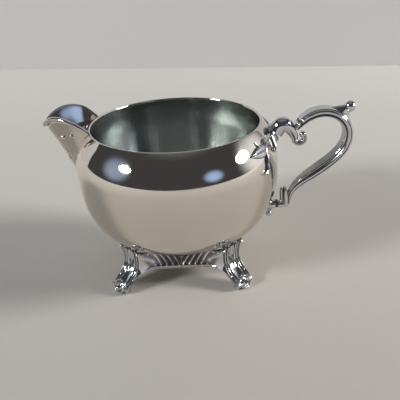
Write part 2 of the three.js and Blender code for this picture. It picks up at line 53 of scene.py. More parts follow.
def view_axes(yaw, pitch, roll):
    """Right, up and backward directions of a camera that looks along +Y, is then turned by yaw
    about the upright, tipped down by pitch and rolled about its own line of sight."""
    forward = np.array([np.sin(yaw) * np.cos(pitch), np.cos(yaw) * np.cos(pitch), -np.sin(pitch)])
    level = np.array([np.cos(yaw), -np.sin(yaw), 0.0])
    upright = np.cross(level, forward)
    right = np.cos(roll) * level + np.sin(roll) * upright
    up = np.cos(roll) * upright - np.sin(roll) * level
    return right, up, -forward


camera = bpy.data.objects.new("camera", bpy.data.cameras.new("camera"))
camera.data.lens = camera.data.sensor_width * focal_share
camera_turn = Matrix(view_axes(camera_yaw, camera_pitch, camera_roll)).transposed()
camera.matrix_world = Matrix.Translation(camera_place) @ camera_turn.to_4x4()
bpy.context.collection.objects.link(camera)
bpy.context.scene.camera = camera
bpy.context.scene.view_settings.view_transform = "Standard"


# Stage: a plain pale table cloth and a plain pale wall that stands slanted behind it. The room is
# a dim dome with three soft glows for the silver to mirror. A weak panel above and two far window
# lamps light the jug, and the lamps cast its two shadows.
class Signal:
    """A value on its way through a node tree: arithmetic on it adds Math nodes."""

    def __init__(self, tree, socket=None):
        self.tree = tree
        self.socket = socket

    def node(self, kind, settings=None, inputs=None, output=0):
        """Any node: its settings are set first, then each input gets its value or its link."""
        added = self.tree.nodes.new(kind)
        for name, value in (settings or {}).items():
            setattr(added, name, value)
        for key, value in (inputs or {}).items():
            self.feed(added.inputs[key], value)
        return Signal(self.tree, added.outputs[output])

    def feed(self, socket, value):
        """Links a signal to a socket, or sets a plain value on it."""
        if isinstance(value, Signal):
            self.tree.links.new(value.socket, socket)
        else:
            socket.default_value = value

    def maths(self, operation, first, second):
        return self.node("ShaderNodeMath", {"operation": operation}, {0: first, 1: second})

    def step(self, low, high):
        """Smooth step: 0 below low, 1 above high, and an S-shaped rise between them."""
        settings = {"interpolation_type": "SMOOTHSTEP"}
        inputs = {"Value": self, "From Min": low, "From Max": high}
        return self.node("ShaderNodeMapRange", settings, inputs)

    def blend(self, low, high):
        """Colour between low and high by this share."""
        return self.node("ShaderNodeMix", {"data_type": "RGBA"}, {0: self, 6: low, 7: high}, output=2)

    def __add__(self, other):
        return self.maths("ADD", self, other)

    def __sub__(self, other):
        return self.maths("SUBTRACT", self, other)

    def __rsub__(self, other):
        return self.maths("SUBTRACT", other, self)

    def __mul__(self, other):
        return self.maths("MULTIPLY", self, other)

    __radd__ = __add__
    __rmul__ = __mul__


def new_finish(name):
    """An empty material with its shader, and a signal to start its node expressions from."""
    finish = bpy.data.materials.new(name)
    finish.use_nodes = True
    shader = finish.node_tree.nodes["Principled BSDF"]
    return finish, shader, Signal(finish.node_tree)


def matt_sheet(name, low, high):
    """Matt cloth or paint: soft clouds of two near colours and a fine bump."""
    finish, shader, start = new_finish(name)
    place = start.node("ShaderNodeTexCoord", output=3)
    clouds = start.node("ShaderNodeTexNoise", inputs={"Vector": place, "Scale": 7.0, "Detail": 3.0})
    threads = start.node("ShaderNodeTexNoise", inputs={"Vector": place, "Scale": 1600.0, "Detail": 2.0})
    start.feed(shader.inputs["Base Color"], clouds.blend(low, high))
    bump = start.node("ShaderNodeBump", inputs={"Strength": 0.3, "Distance": 0.0003, "Height": threads})
    start.feed(shader.inputs["Normal"], bump)
    shader.inputs["Roughness"].default_value = 0.9
    shader.inputs["Specular IOR Level"].default_value = 0.2
    shader.inputs["Sheen Weight"].default_value = 0.5
    return finish


def stage_plane(name, corners, finish):
    """Flat four-cornered sheet that isn't part of the object."""
    mesh = bpy.data.meshes.new(name)
    mesh.from_pydata(corners, [], [(0, 1, 2, 3)])
    mesh.materials.append(finish)
    sheet = bpy.data.objects.new(name, mesh)
    bpy.context.collection.objects.link(sheet)


stage_reach = 2.0
table_top = -0.0001
table_signs = [(-1, -1), (1, -1), (1, 1), (-1, 1)]
table_corners = [(x * stage_reach, y * stage_reach, table_top) for x, y in table_signs]
wall_distance = 0.455
wall_slant = -0.156
wall_height = 0.75
wall_stop = 0.46
wall_left = (-stage_reach, wall_distance - wall_slant * stage_reach)
wall_right = (wall_stop, wall_distance + wall_slant * wall_stop)
wall_foot = [(*wall_left, table_top), (*wall_right, table_top)]
wall_head = [(*wall_right, wall_height), (*wall_left, wall_height)]
cloth = matt_sheet("table_cloth", (0.53, 0.495, 0.445, 1), (0.57, 0.535, 0.485, 1))
paint = matt_sheet("wall_paint", (0.74, 0.725, 0.705, 1), (0.78, 0.765, 0.745, 1))
stage_plane("table", table_corners, cloth)
stage_plane("wall", wall_foot + wall_head, paint)

room_colour = (0.055, 0.054, 0.058, 1)
ceiling_colour = (0.17, 0.18, 0.185, 1)
ceiling_start = 0.75
ceiling_full = 0.97
# Each glow has a direction, the cosine of the angle to its edge and a colour.
left_glow = ((-1.4, -0.45, 0.5), 0.92, (0.26, 0.34, 0.5, 1))
right_glow = ((0.78, 0.2, 0.14), 0.8, (0.85, 0.87, 0.9, 1))
front_glow = ((0.65, -0.72, 0.26), 0.965, (0.36, 0.52, 0.85, 1))


def dome_light(glows):
    """World colour by the sine of the height: a dim room and a paler ceiling, plus the glows, which
    fade from their middle out."""
    world = bpy.data.worlds.new("room")
    world.use_nodes = True
    start = Signal(world.node_tree)
    direction = start.node("ShaderNodeTexCoord", output=0)
    height = start.node("ShaderNodeSeparateXYZ", inputs={"Vector": direction}, output=2)
    room = height.step(ceiling_start, ceiling_full).blend(room_colour, ceiling_colour)
    for middle, edge, colour in glows:
        aim = {0: direction, 1: Vector(middle).normalized()}
        facing = start.node("ShaderNodeVectorMath", {"operation": "DOT_PRODUCT"}, aim, output=1)
        near = facing.step(edge, 1.0)
        glow = (near * near).blend((0, 0, 0, 1), colour)
        room = start.node("ShaderNodeVectorMath", {"operation": "ADD"}, {0: room, 1: glow})
    start.feed(world.node_tree.nodes["Background"].inputs["Color"], room)
    bpy.context.scene.world = world


def oval_lamp(name, place, target, size, power, colour):
    """Oval soft lamp at a place, facing a target. Its size is a width and a height."""
    lamp = bpy.data.objects.new(name, bpy.data.lights.new(name, "AREA"))
    lamp.data.shape = "ELLIPSE"
    lamp.data.color = colour
    lamp.data.size = size[0]
    lamp.data.size_y = size[1]
    lamp.data.energy = power
    lamp.location = place
    aim = Vector(target) - Vector(place)
    lamp.rotation_euler = aim.to_track_quat("-Z", "Y").to_euler()
    bpy.context.collection.objects.link(lamp)


dome_light([left_glow, right_glow, front_glow])
panel_place = (0.0, 0.1, 1.0)
panel_size = (1.3, 1.3)
panel_power = 0.15
panel_colour = (1.0, 0.97, 0.93)
right_window = (2.34, -0.2, 1.05)
right_size = (0.85, 0.55)
right_power = 53.0
right_colour = (1.0, 0.98, 0.95)
left_window = (-2.5, -1.35, 1.46)
left_size = (0.8, 0.5)
left_power = 52.0
left_colour = (0.93, 0.965, 1.0)
oval_lamp("panel_above", panel_place, (0, 0, 0), panel_size, panel_power, panel_colour)
oval_lamp("window_right", right_window, (0, 0, 0.05), right_size, right_power, right_colour)
oval_lamp("window_left", left_window, (0, 0, 0.06), left_size, left_power, left_colour)


# Bowl: one spun sheet of plated metal with a rounded rim. The outside is polished to a mirror,
# the inside is left satin, and a window is cut through the wall where the spout stands.
rim_radius = 43.0
rim_height = 78.7
belly_radius = 51.0
belly_height = 60.0
base_radius = 18.0
base_height = 17.0
hip = (40.3, 21.3)
side_drop = 30.0
shoulder_rise = 9.5
bowl_wall = 1.4
round_steps = 288
face_steps = 400
wall_steps = 90
millimetre = 0.001
merge_distance = 1e-7
crease_angle = np.radians(38)


def bezier(controls, t):
    """Points on a Bézier curve: neighbouring control points are blended in the ratio t to 1 - t,
    again and again, until one is left for each t."""
    share = np.asarray(t, float)[..., None]
    points = [np.asarray(control, float) + 0 * share for control in controls]
    while len(points) > 1:
        points = [(1 - share) * before + share * after for before, after in zip(points, points[1:])]
    return points[0]


def unit(vectors):
    """Vectors brought to length 1."""
    return vectors / np.linalg.norm(vectors, axis=-1, keepdims=True)


def lathe(profile, steps=round_steps):
    """Rings of a turned shape: every (radius, height) of the profile is carried round +Z."""
    turn = np.linspace(0, 2 * np.pi, steps, endpoint=False)
    radius, height = profile[:, :1], profile[:, 1:]
    return np.stack([radius * np.cos(turn), radius * np.sin(turn), height + 0 * turn], -1)


def closed_shell(name, sheets, finish):
    """Closed object from sheets, each a stack of closed rings of points and a mark, 0 to 1, for each
    point, which is high in recesses and where a piece paints shade. Rings and their neighbours are joined
    by quads, points that fall together are merged, and the faces are turned outwards."""
    corners, faces, marks = [], [], []
    count = 0
    for points, mark in sheets:
        rings, sides = points.shape[:2]
        here = count + np.arange(rings * sides).reshape(rings, sides)
        beside = np.roll(here, -1, axis=1)
        faces.append(np.stack([here[:-1], beside[:-1], beside[1:], here[1:]], -1).reshape(-1, 4))
        corners.append(points.reshape(-1, 3))
        marks.append((np.zeros((rings, sides)) + mark).ravel())
        count += rings * sides
    mesh = bpy.data.meshes.new(name)
    places = np.concatenate(corners) * millimetre + (axis_x, 0, 0)
    mesh.from_pydata(places, [], np.concatenate(faces).tolist())
    # Stored per point: high in recesses and where shade is painted.
    recess_and_shade = mesh.attributes.new("recess_and_shade", "FLOAT", "POINT")
    recess_and_shade.data.foreach_set("value", np.concatenate(marks).astype(np.float32))
    shell = bmesh.new()
    shell.from_mesh(mesh)
    bmesh.ops.remove_doubles(shell, verts=shell.verts, dist=merge_distance)
    bmesh.ops.recalc_face_normals(shell, faces=shell.faces)
    shell.to_mesh(mesh)
    shell.free()
    mesh.shade_smooth()
    mesh.set_sharp_from_angle(angle=crease_angle)
    mesh.materials.append(finish)
    piece = bpy.data.objects.new(name, mesh)
    bpy.context.collection.objects.link(piece)
    return piece


def build(name, sheets, finish, slot, *nodes):
    """One piece of the object: a closed shell that rides on the root and stands for the nodes."""
    piece = closed_shell(name, sheets, finish)
    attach(piece, "root")
    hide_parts(*nodes)
    return piece


def bowl_face(steps):
    """Outer profile as (radius, height): a cubic curve under the belly, a quadratic shoulder."""
    t = np.linspace(0, 1, steps)
    belly = (belly_radius, belly_height)
    under = bezier([(base_radius, base_height), hip, (belly_radius, belly_height - side_drop), belly], t)
    over = bezier([belly, (belly_radius, belly_height + shoulder_rise), (rim_radius, rim_height)], t)
    return np.concatenate([under, over[1:]])


face_profile = bowl_face(face_steps)
face_slope = unit(np.gradient(face_profile, axis=0))


def on_bowl(angle, height, lift):
    """Point on the bowl's outer face at an angle from the handle, moved off the face by lift."""
    radius = np.interp(height, face_profile[:, 1], face_profile[:, 0])
    outward = np.interp(height, face_profile[:, 1], face_slope[:, 1])
    upward = -np.interp(height, face_profile[:, 1], face_slope[:, 0])
    turn = np.radians(angle)
    reach = radius + lift * outward
    place = np.broadcast_arrays(reach * np.cos(turn), reach * np.sin(turn), height + lift * upward)
    return np.stack(place, -1)


def polished_silver():
    """Mirror plate: warm and cool clouds, polishing lines round the axis that draw highlights out
    upright, faint smears, and a satin, cooler grey where the mark is 1: the satin inside, and painted
    shade in the hollow under the spout's lip."""
    finish, shader, start = new_finish("polished_silver")
    place = start.node("ShaderNodeTexCoord", output=3)
    satin = start.node("ShaderNodeAttribute", {"attribute_name": "recess_and_shade"}, output=2)
    clouds = start.node("ShaderNodeTexNoise", inputs={"Vector": place, "Scale": 24.0, "Detail": 3.0})
    smears = start.node("ShaderNodeTexNoise", inputs={"Vector": place, "Scale": 85.0, "Detail": 5.0})
    lines_place = start.node("ShaderNodeMapping", inputs={"Vector": place, "Scale": (60, 60, 5200)})
    lines = start.node("ShaderNodeTexNoise", inputs={"Vector": lines_place, "Scale": 1.0, "Detail": 2.0})
    mirror = clouds.blend((0.78, 0.72, 0.64, 1), (0.82, 0.765, 0.695, 1))
    inside = clouds.blend((0.485, 0.51, 0.495, 1), (0.58, 0.61, 0.595, 1))
    start.feed(shader.inputs["Base Color"], satin.blend(mirror, inside))
    start.feed(shader.inputs["Roughness"], 0.035 + 0.05 * smears.step(0.5, 0.8) + 0.19 * satin)
    height = lines * (0.05 + 0.95 * satin)
    bump = start.node("ShaderNodeBump", inputs={"Strength": 0.12, "Distance": 0.00004, "Height": height})
    start.feed(shader.inputs["Normal"], bump)
    shader.inputs["Metallic"].default_value = 1.0
    shader.inputs["Anisotropic"].default_value = 0.9
    shader.inputs["Anisotropic Rotation"].default_value = 0.25
    return finish


def bowl_sheet():
    """The wall in one turned profile: axis, outer face, half-round rim, inner face, axis."""
    outer = bowl_face(wall_steps)
    slope = unit(np.gradient(outer, axis=0))
    inward = np.stack([-slope[:, 1], slope[:, 0]], -1)
    inner = outer + bowl_wall * inward
    turn = np.linspace(0, np.pi, 11)[1:-1, None]
    rim_middle = (outer[-1] + inner[-1]) / 2
    rim = rim_middle - bowl_wall / 2 * (np.cos(turn) * inward[-1] - np.sin(turn) * slope[-1])
    foot = np.array([[0, base_height]])
    floor = np.array([[0, inner[0, 1]]])
    profile = np.concatenate([foot, outer, rim, inner[::-1], floor])
    satin = np.zeros(len(profile))
    satin[len(outer) + len(rim):] = 1
    return lathe(profile), satin[:, None]


mirror_silver = polished_silver()
bowl_shell = build("bowl_shell", [bowl_sheet()], mirror_silver, "polished_silver", "bowl")


# Spout: a scoop of sheet metal with four low pearls pressed out on each side. It is soldered to the
# outside of the bowl below the rim, with a bead of solder along the seam. A round wire stiffens its
# lip, and the bowl's rim runs on unbroken above a window in the wall.
spout_half_angle = 18.0
spout_foot_height = 48.0
spout_wall = 1.3
spout_tip = (-rim_radius - 21.7, 0.0, rim_height + 1.5)
spout_keel_bend = np.array([-rim_radius - 15.5, 0.0, rim_height - 7.5])
lip_out = np.array([5.0, 13.5, 19.4])
lip_half = np.array([13.8, 10.0, 5.2])
lip_rise = np.array([5.6, 7.3, 4.7])
lip_tuck = 0.4
lip_bead_out = 1.08
lip_bead_across = 1.0
lip_cove = 0.6
lip_cove_place = 0.94
lip_cove_width = 0.035
seam_pinch = 1.2
seam_tuck = 0.7
seam_end = 0.99
seam_bead_radius = 0.45


def smooth_route(points, t):
    """Centripetal Catmull-Rom route through points: between two of them runs a cubic whose end
    slopes come from the neighbours, weighted by the square roots of the distances."""
    knots = np.asarray(points, float)
    knots = np.concatenate([[2 * knots[0] - knots[1]], knots, [2 * knots[-1] - knots[-2]]])
    place = np.clip(t, 0, 1) * (len(points) - 1)
    span = np.minimum(place.astype(int), len(points) - 2)
    share = (place - span)[..., None]
    before, start, end, after = (knots[span + step] for step in range(4))

    def gap(one, other):
        return np.sqrt(np.linalg.norm(other - one, axis=-1, keepdims=True))

    lead, width, trail = gap(before, start), gap(start, end), gap(end, after)
    leave = (start - before) / lead - (end - before) / (lead + width) + (end - start) / width
    arrive = (end - start) / width - (after - start) / (width + trail) + (after - end) / trail
    leave = leave * width
    arrive = arrive * width
    square = 3 * (end - start) - 2 * leave - arrive
    cube = 2 * (start - end) + leave + arrive
    return start + leave * share + square * share**2 + cube * share**3


def lip_points():
    """Places that the lip passes: rim joint, shoulder, crest and turn on one side, tip, and back."""
    joint = np.radians(spout_half_angle)
    out = np.append(rim_radius * np.cos(joint) - rim_radius, lip_out)
    half = np.append(rim_radius * np.sin(joint), lip_half)
    rise = np.append(0, lip_rise)
    one_side = np.stack([-rim_radius - out, half, rim_height + rise], -1)
    return np.concatenate([one_side, [spout_tip], one_side[::-1] * (1, -1, 1)])


def seam_place(side, lift):
    """Seam on the bowl for a side from 1 to -1: it climbs from the spout's foot to the rim."""
    share = np.abs(side)
    height = spout_foot_height + (rim_height - spout_foot_height - spout_wall) * share
    angle = 180 - np.sign(side) * spout_half_angle * share**seam_pinch
    return on_bowl(angle, height, lift)


def outside_bowl(points, sink):
    """Points pushed out from the axis until they lie no deeper than sink under the bowl's face."""
    limit = np.interp(points[..., 2], face_profile[:, 1], face_profile[:, 0], left=0, right=0) - sink
    radius = np.hypot(points[..., 0], points[..., 1])
    scale = np.maximum(1, limit / np.maximum(radius, 1e-3))
    return points * np.stack([scale, scale, np.ones_like(scale)], -1)


def ridge(value, centre, width):
    """Bell-shaped ridge of height 1 at a centre."""
    return np.exp(-((value - centre) / width)**2)


def spout_face(side, t):
    """Outer face: each strip is a quadratic Bézier curve from the seam over a bend to the lip, and
    the bend leans out most on the keel, by one less the square of the side."""
    edge = smooth_route(lip_points(), (1 - side) / 2)
    foot = seam_place(side, -seam_tuck)
    keel_edge = np.array(spout_tip)
    keel_foot = seam_place(np.zeros(1), -seam_tuck)[0]
    lean = spout_keel_bend - (keel_edge + keel_foot) / 2
    bend = (edge + foot) / 2 + lean * (1 - side**2)[..., None]
    edge = edge + unit(bend - edge) * lip_tuck
    return bezier([foot, bend, edge], t)


def capped(rings):
    """Stack of rings closed by a fan at both ends: each end ring is drawn in to its middle."""
    ends = rings[[0, -1]].mean(axis=1, keepdims=True) + 0 * rings[[0, -1]]
    return np.concatenate([ends[:1], rings, ends[1:]])


def capped_mark(mark):
    """Marks of a capped stack of rings: those of the end rings are repeated on the fans."""
    return np.concatenate([mark[:1], mark, mark[-1:]])


def spout_sheet():
    """Outer face, and an inner face one wall inside it, joined round every strip. The hollow under the
    lip is marked, which paints shade into it with the darker satin grey."""
    side, t = np.meshgrid(np.linspace(1, -1, 181), np.linspace(0, 1, 56), indexing="ij")
    outer = spout_face(side, t)
    normal = unit(np.cross(np.gradient(outer, axis=0), np.gradient(outer, axis=1)))
    inner = outside_bowl(outer - spout_wall * normal, 2 * seam_tuck)
    hollow = ridge(t, lip_cove_place, lip_cove_width)
    outer = outer - lip_cove * hollow[..., None] * normal
    rings = np.concatenate([outer, inner[:, ::-1]], axis=1)
    # Painted shade: the hollow under the lip bead is marked for the darker satin grey.
    mark = np.concatenate([hollow, 0 * hollow], axis=1)
    return capped(rings), capped_mark(mark)


def bar(path, reference, half_out, half_across, sides):
    """Closed bar along a path with an oval section. Out is square to the path and to the reference
    direction, and across is square to the path and to out."""
    along = unit(np.gradient(path, axis=0))
    out = unit(np.cross(reference, along))
    across = np.cross(along, out)
    turn = np.linspace(0, 2 * np.pi, sides, endpoint=False)
    section_out = (half_out * np.cos(turn))[..., None]
    section_across = (half_across * np.sin(turn))[..., None]
    return capped(path[:, None] + out[:, None] * section_out + across[:, None] * section_across)


upright = np.array([0.0, 0.0, 1.0])
sideways = np.array([0.0, 1.0, 0.0])
seam_line = seam_place(np.linspace(seam_end, -seam_end, 161), 0.0)
seam_bead = bar(seam_line, upright, seam_bead_radius, seam_bead_radius, sides=14)
ball_arc = np.linspace(-np.pi / 2, np.pi / 2, 24)
ball_outline = np.stack([np.cos(ball_arc), np.sin(ball_arc)], -1)
# Each pearl has a side, a share of the way up the scoop and a radius.
pearls = [(0.43, 0.49, 1.4), (0.67, 0.45, 1.3), (0.235, 0.335, 1.0), (0.11, 0.285, 0.9)]
pearl_flatness = 0.9


def turned(profile, foot, axis, steps=48):
    """Turned shape with its own axis: the lathe's rings are stood on a foot point along the axis,
    which may not point straight sideways."""
    axis = unit(np.asarray(axis, float))
    aside = unit(np.cross(sideways, axis))
    frame_axes = np.stack([aside, np.cross(axis, aside), axis])
    return lathe(np.asarray(profile, float), steps) @ frame_axes + np.asarray(foot, float)


def spout_pearl(side, t, radius):
    """Low ball half sunk in the scoop's face at a side and a share of the way up."""
    near = spout_face(np.array([side, side - 0.01, side]), np.array([t, t, t + 0.01]))
    outward = np.cross(near[1] - near[0], near[2] - near[0])
    return turned(radius * ball_outline * (1, pearl_flatness), near[0], outward, 32), 0


spout_sheets = [spout_sheet(), (seam_bead, 0)]
for pearl_side, pearl_share, pearl_radius in pearls:
    spout_sheets.append(spout_pearl(pearl_side, pearl_share, pearl_radius))
    spout_sheets.append(spout_pearl(-pearl_side, pearl_share, pearl_radius))
build("spout_scoop", spout_sheets, mirror_silver, "polished_silver", "spout")
lip_path = smooth_route(lip_points(), np.linspace(0, 1, 241))
lip_bead = bar(lip_path, upright, lip_bead_out, lip_bead_across, sides=20)
build("spout_bead", [(lip_bead, 0)], mirror_silver, "polished_silver", "spout_lip_wire")

window_sill = spout_foot_height + 13.0
window_head = rim_height - 2.8
window_margin = 3.5


def window_tool():
    """Block through the bowl's wall on the spout's side: its outline keeps a margin to the seam."""
    height = np.linspace(window_sill, window_head, 24)
    share = (height - spout_foot_height) / (rim_height - spout_foot_height)
    radius = np.hypot(*on_bowl(0, height, 0)[:, :2].T)
    half = radius * np.sin(np.radians(spout_half_angle * share**seam_pinch)) - window_margin
    outline = np.concatenate([np.stack([half, height], -1), np.stack([-half, height], -1)[::-1]])
    depth = np.array([-rim_radius / 2, -rim_radius / 2 - belly_radius])[:, None]
    outline_y, outline_z = outline[:, 0] + 0 * depth, outline[:, 1] + 0 * depth
    return capped(np.stack([depth + 0 * outline_y, outline_y, outline_z], -1))


def cut_away(piece, tool):
    """Takes the tool's space out of the piece for good, and deletes the tool."""
    cut = piece.modifiers.new("cut", "BOOLEAN")
    cut.operation = "DIFFERENCE"
    cut.solver = "EXACT"
    cut.object = tool
    graph = bpy.context.evaluated_depsgraph_get()
    opened = bpy.data.meshes.new_from_object(piece.evaluated_get(graph))
    piece.modifiers.clear()
    piece.data = opened
    bpy.data.objects.remove(tool)


cut_away(bowl_shell, closed_shell("window_tool", [(window_tool(), 1)], mirror_silver))


# Handle collar: a turned seat of cast silver, soldered square to the shoulder, with a rounded
# edge and a small step below the bulb that stands on it.
upper_joint_height = rim_height - 8.2
collar_radius = 4.9
collar_height = 1.7
collar_sink = 0.6


def cast_silver():
    """Cast and burnished silver: bright high faces, dark where the mark is high, fine casting grain and a
    broken tint. The dark stands partly for tarnished hollows and partly for painted shade."""
    finish, shader, start = new_finish("cast_silver")
    place = start.node("ShaderNodeTexCoord", output=3)
    recess_and_shade = start.node("ShaderNodeAttribute", {"attribute_name": "recess_and_shade"}, output=2)
    clouds = start.node("ShaderNodeTexNoise", inputs={"Vector": place, "Scale": 90.0, "Detail": 4.0})
    grain = start.node("ShaderNodeTexNoise", inputs={"Vector": place, "Scale": 1400.0, "Detail": 3.0})
    # Dark share: tarnished hollows, and painted shade where the pieces mark it.
    tarnish_and_shade = (recess_and_shade + 0.35 * (clouds - 0.5)).step(0.25, 0.95)
    bright = clouds.blend((0.62, 0.625, 0.635, 1), (0.76, 0.78, 0.82, 1))
    dark = clouds.blend((0.05, 0.045, 0.04, 1), (0.12, 0.11, 0.095, 1))
    start.feed(shader.inputs["Base Color"], tarnish_and_shade.blend(bright, dark))
    start.feed(shader.inputs["Roughness"], 0.07 + 0.06 * clouds.step(0.45, 0.75) + 0.3 * tarnish_and_shade)
    bump = start.node("ShaderNodeBump", inputs={"Strength": 0.12, "Distance": 0.00003, "Height": grain})
    start.feed(shader.inputs["Normal"], bump)
    shader.inputs["Metallic"].default_value = 1.0
    return finish


casting = cast_silver()
joint_seat = on_bowl(0, upper_joint_height, 0)
joint_axis = on_bowl(0, upper_joint_height, 1) - joint_seat
collar_profile = [
    (0, -collar_sink),
    (collar_radius, -collar_sink),
    (collar_radius, 0.5),
    (collar_radius - 0.25, 0.95),
    (collar_radius - 0.7, 1.15),
    (collar_radius - 0.8, 1.35),
    (collar_radius - 1.1, collar_height),
    (0, collar_height),
]
collar_mark = np.array([0, 0, 0, 0.2, 1, 1, 0.2, 0])[:, None]
collar = turned(collar_profile, joint_seat, joint_axis, 96)
build("handle_seat_collar", [(collar, collar_mark)], casting, "cast_silver", "handle_collar")


# Upper bracket: a cast bulb on the collar that narrows to a neck, arches over and rolls up in an open
# curl with a ball at its end. A dark line of painted shade runs down each side of the arch.
strap_start = np.array([belly_radius + 9.2, 0, upper_joint_height + 2.1])
strap_half_thickness = 2.35
bulb_radius = 4.0
bulb_tilt = 1.4
bulb_end = 0.15
neck_radius = 1.6
neck_start = 0.45
curl_tube = 1.5
curl_ball = 1.75
curl_radius = 2.5
curl_middle = np.array([belly_radius + 11.0, 0, upper_joint_height - 3.3])
curl_start = 165
curl_finish = 410
flank_start = 0.2
flank_full = 0.35
bracket_steps = 200
bracket_sides = 40


def ease(t):
    """Smooth step: 3 t squared less 2 t cubed, with t held between 0 and 1."""
    held = np.clip(t, 0, 1)
    return held * held * (3 - 2 * held)


def bracket_path(t):
    """From the collar over the bulb and the neck, then round the curl by 245 degrees."""
    turn = np.radians(np.linspace(curl_start, curl_finish, 6))
    curl = curl_middle + curl_radius * np.stack([np.cos(turn), 0 * turn, np.sin(turn)], -1)
    seat = on_bowl(0, upper_joint_height, collar_height)
    bulb = on_bowl(0, upper_joint_height + bulb_tilt, collar_height + bulb_radius)
    neck = strap_start + (-neck_radius - strap_half_thickness, 0, neck_radius / 2)
    return smooth_route(np.concatenate([[seat, bulb, neck], curl]), t)


bracket_share = np.linspace(0, 1, bracket_steps)[:, None]
narrow = neck_radius + (curl_tube - neck_radius) * bracket_share
narrowing = ease((bracket_share - bulb_end) / (neck_start - bulb_end))
bracket_radius = bulb_radius + (narrow - bulb_radius) * narrowing
bracket_line = bracket_path(bracket_share[:, 0])
bracket_sheet = bar(bracket_line, sideways, bracket_radius, bracket_radius, sides=bracket_sides)
curl_end = turned(curl_ball * ball_outline, bracket_line[-1], sideways + 0.01 * upright)
bracket_turn = np.linspace(0, 2 * np.pi, bracket_sides, endpoint=False)
flank_fade = ease((bracket_share - flank_start) / (flank_full - flank_start))
# Painted shade: a dark line down each side of the arch.
flank_shade = ridge(np.cos(bracket_turn), 0.1, 0.25) * flank_fade
bracket_sheets = [(bracket_sheet, capped_mark(flank_shade)), (curl_end, 0)]
build("handle_bracket_scroll", bracket_sheets, casting, "cast_silver", "handle_upper_bracket")


# Handle strap: the cast grip, a flat bar bent to a heart shape that tapers towards its foot. Each
# narrow side has two dark grooves between bright bead lines, and two knuckle beads cross the bar
# near its upper end.
lower_joint_height = 31.0
strap_half_width = 4.2
strap_foot_reach = 5.8
strap_foot_loss = 0.5
strap_start_share = 0.62
strap_groove = 0.17
fine_groove = -0.5
fine_groove_width = 0.13
broad_groove = 0.42
broad_groove_width = 0.28
knuckle_places = (0.028, 0.062)
knuckle_swell = (0.16, 0.12)
knuckle_width = 0.012
strap_steps = 110
strap_sides = 144


def strap_path():
    """Three cubic Bézier curves: over the crest, down the back, and in to the foot."""
    upper = np.array([belly_radius, 0, upper_joint_height])
    lower = np.array([belly_radius, 0, lower_joint_height])
    crest, corner, back, back_pull = upper + np.array(
        [(16.7, 0, 15.4), (35.1, 0, 11.4), (35.1, 0, -2), (35.1, 0, -11.5)]
    )
    sweep_pull, sweep, heel_pull, foot_pull, foot = lower + np.array(
        [(24.8, 0, 22), (14.3, 0, 14.3), (8.8, 0, 10.3), (6, 0, 6), (strap_foot_reach, 0, 0)]
    )
    t = np.linspace(0, 1, strap_steps)
    spans = [
        bezier([strap_start, crest, corner, back], t),
        bezier([back, back_pull, sweep_pull, sweep], t),
        bezier([sweep, heel_pull, foot_pull, foot], t),
    ]
    return np.concatenate([spans[0], spans[1][1:], spans[2][1:]])


def run_along(path):
    """Length along a path up to each of its points."""
    return np.append(0, np.cumsum(np.linalg.norm(np.diff(path, axis=0), axis=-1)))


def strap_taper(t):
    """Share of the full section at a share of the length: it grows from the start, swells at both
    knuckles and shrinks over the last three tenths."""
    start = strap_start_share + (1 - strap_start_share) * ease(t / 0.12)
    foot = 1 - strap_foot_loss * ease((t - 0.7) / 0.3)
    upper, lower = (ridge(t, place, knuckle_width) for place in knuckle_places)
    return foot * start * (1 + knuckle_swell[0] * upper + knuckle_swell[1] * lower)


def strap_sheet(path):
    """Bar with a flat-sided section, a superellipse of power 4, whose two narrow sides are hollowed by
    the grooves. Marked are the grooves and the gap between the knuckles, and the inner face is marked as
    painted shade."""
    length = run_along(path)
    t = (length / length[-1])[:, None]
    taper = strap_taper(t)
    along = unit(np.gradient(path, axis=0))
    inward = unit(np.cross(sideways, along))
    turn = np.linspace(0, 2 * np.pi, strap_sides, endpoint=False)
    size = (np.cos(turn)**4 + np.sin(turn)**4)**-0.25
    section_in, section_across = np.cos(turn) * size, np.sin(turn) * size
    flank = ease((np.abs(section_across) - 0.7) / 0.2)
    fine = flank * ridge(section_in, fine_groove, fine_groove_width)
    broad = flank * ridge(section_in, broad_groove, broad_groove_width)
    section_across = section_across * (1 - strap_groove * (0.55 * fine + broad))
    rings = path[:, None] + inward[:, None] * (strap_half_thickness * taper * section_in)[..., None]
    rings = rings + sideways * (strap_half_width * taper * section_across)[..., None]
    # Painted shade: the face on the inside of the heart is darkened.
    inner_shade = 0.65 * ease((section_in - 0.8) / 0.15)
    knuckle_gap = ridge(t, sum(knuckle_places) / 2, 0.01)
    mark = np.maximum(np.maximum(np.clip(fine + broad, 0, 1), inner_shade), knuckle_gap)
    return capped(rings), capped_mark(mark)


strap_middle = strap_path()
build("handle_grip", [strap_sheet(strap_middle)], casting, "cast_silver", "handle_strap")


# Thumb knob: a cast spur on the outer corner of the strap. It runs out straight along the crest,
# hollows down the back, and ends in a collar and a ball with a small tip.
knob_place = 0.3
knob_reach = 6.7
knob_ball = 2.85
knob_neck = 1.6
spur_crest = 6.0
spur_back = 5.0
spur_half_width = 2.5
finial_neck = [(0, -3.1), (1.5, -3.0), (1.75, -2.7), (1.5, -2.35), (1.05, -2.1)]
finial_tip = [(0.75, 2.05), (0.55, 2.3), (0.0, 2.4)]


def knob_frame(path):
    """Foot of the knob on the strap's middle line, the strap's direction there, and the outward
    direction."""
    length = run_along(path)
    place = np.searchsorted(length, knob_place * length[-1])
    along = unit(path[place + 1] - path[place - 1])
    return path[place], along, unit(np.cross(along, sideways))


